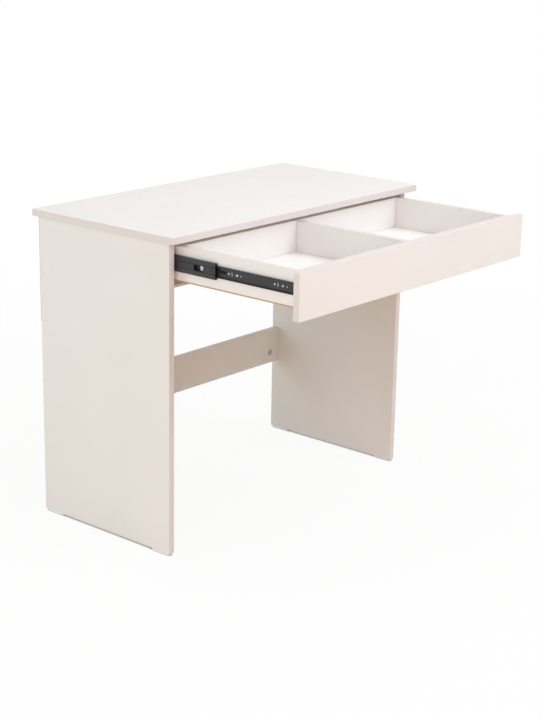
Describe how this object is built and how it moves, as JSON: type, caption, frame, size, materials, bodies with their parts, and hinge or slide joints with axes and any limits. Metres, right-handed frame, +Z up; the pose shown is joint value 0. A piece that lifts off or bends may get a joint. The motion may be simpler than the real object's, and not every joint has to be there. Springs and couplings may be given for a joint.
{
  "type": "desk with drawer",
  "caption": "Small panel-sided desk with a flat top, thin back sheet and low stretcher, and a wide divided drawer on ball slides, shown pulled open.",
  "frame": {"origin": "on the floor, under the middle of the footprint of the desk with its drawer open as at rest", "axes": "+X across the desk to the right as one sits at it, +Y from the drawer front to the back, +Z up"},
  "size_m": [0.9, 0.781, 0.75],
  "materials": {
    "melamine_board": "pale warm satin melamine",
    "hardboard": "hardboard, white on one face and raw brown on the other and at the edges",
    "foot_plastic": "moulded off-white",
    "cap_plastic": "moulded grey",
    "trim_plastic": "extruded off-white",
    "slide_steel": "black coated rolled sheet",
    "slide_plastic": "moulded black",
    "zinc_steel": "bright zinc plate",
    "cast_zinc": "as cast",
    "ball_steel": "polished",
    "beech": "fluted raw beech"
  },
  "bodies": {
    "frame": {"top_panel": "melamine_board", "left_side_panel": "melamine_board", "right_side_panel": "melamine_board", "stretcher": "melamine_board", "back_sheet": "hardboard", "sheet_trim": "trim_plastic", "front_left_foot": "foot_plastic", "front_right_foot": "foot_plastic", "back_left_foot": "foot_plastic", "back_right_foot": "foot_plastic", "foot_nails": "zinc_steel", "sheet_nails": "zinc_steel", "top_cam_bolts": "zinc_steel", "rail_cam_bolts": "zinc_steel", "top_cams": "cast_zinc", "rail_cams": "cast_zinc", "cam_caps": "cap_plastic", "frame_dowels": "beech", "left_cabinet_member": "slide_steel", "left_cabinet_screws": "zinc_steel", "left_slide_bumper": "slide_plastic", "right_cabinet_member": "slide_steel", "right_cabinet_screws": "zinc_steel", "right_slide_bumper": "slide_plastic"},
    "drawer": {"drawer_front": "melamine_board", "drawer_inner_front": "melamine_board", "drawer_left_side": "melamine_board", "drawer_right_side": "melamine_board", "drawer_back": "melamine_board", "drawer_divider": "melamine_board", "drawer_bottom": "hardboard", "drawer_cams": "cast_zinc", "drawer_cam_bolts": "zinc_steel", "drawer_dowels": "beech", "drawer_screws": "zinc_steel", "bottom_nails": "zinc_steel", "left_drawer_member": "slide_steel", "left_drawer_member_screws": "zinc_steel", "left_lever_rivet": "zinc_steel", "right_drawer_member": "slide_steel", "right_drawer_member_screws": "zinc_steel", "right_lever_rivet": "zinc_steel"},
    "left_middle_slide": {"left_middle_member": "slide_steel"},
    "left_outer_cage_body": {"left_outer_cage": "slide_plastic", "left_outer_balls": "ball_steel"},
    "left_inner_cage_body": {"left_inner_cage": "slide_plastic", "left_inner_balls": "ball_steel"},
    "left_lever_body": {"left_release_lever": "slide_plastic"},
    "right_middle_slide": {"right_middle_member": "slide_steel"},
    "right_outer_cage_body": {"right_outer_cage": "slide_plastic", "right_outer_balls": "ball_steel"},
    "right_inner_cage_body": {"right_inner_cage": "slide_plastic", "right_inner_balls": "ball_steel"},
    "right_lever_body": {"right_release_lever": "slide_plastic"}
  },
  "joints": [
    {"name": "drawer_slide", "type": "slide", "parent": "frame", "child": "drawer", "axis": [0, -1, 0], "range_m": [-0.34, 0.01]},
    {"name": "left_middle_slide_run", "type": "slide", "parent": "frame", "child": "left_middle_slide", "axis": [0, -1, 0], "range_m": [-0.1302, 0.0048]},
    {"name": "left_outer_cage_run", "type": "slide", "parent": "frame", "child": "left_outer_cage_body", "axis": [0, -1, 0], "range_m": [-0.0656, 0.0029]},
    {"name": "left_inner_cage_run", "type": "slide", "parent": "frame", "child": "left_inner_cage_body", "axis": [0, -1, 0], "range_m": [-0.2356, 0.0079]},
    {"name": "left_lever_tilt", "type": "hinge", "parent": "drawer", "child": "left_lever_body", "pos_m": [-0.407, -0.1345, 0.685], "axis": [1, 0, 0], "range_deg": [-7, 7], "stiffness_Nm_per_rad": 0.03},
    {"name": "right_middle_slide_run", "type": "slide", "parent": "frame", "child": "right_middle_slide", "axis": [0, -1, 0], "range_m": [-0.1302, 0.0048]},
    {"name": "right_outer_cage_run", "type": "slide", "parent": "frame", "child": "right_outer_cage_body", "axis": [0, -1, 0], "range_m": [-0.0656, 0.0029]},
    {"name": "right_inner_cage_run", "type": "slide", "parent": "frame", "child": "right_inner_cage_body", "axis": [0, -1, 0], "range_m": [-0.2356, 0.0079]},
    {"name": "right_lever_tilt", "type": "hinge", "parent": "drawer", "child": "right_lever_body", "pos_m": [0.407, -0.1345, 0.685], "axis": [1, 0, 0], "range_deg": [-7, 7], "stiffness_Nm_per_rad": 0.03}
  ],
  "couplings": [
    {"joint": "left_middle_slide_run", "follows": "drawer_slide", "ratio": 0.38},
    {"joint": "left_outer_cage_run", "follows": "drawer_slide", "ratio": 0.19},
    {"joint": "left_inner_cage_run", "follows": "drawer_slide", "ratio": 0.69},
    {"joint": "right_middle_slide_run", "follows": "drawer_slide", "ratio": 0.38},
    {"joint": "right_outer_cage_run", "follows": "drawer_slide", "ratio": 0.19},
    {"joint": "right_inner_cage_run", "follows": "drawer_slide", "ratio": 0.69}
  ]
}
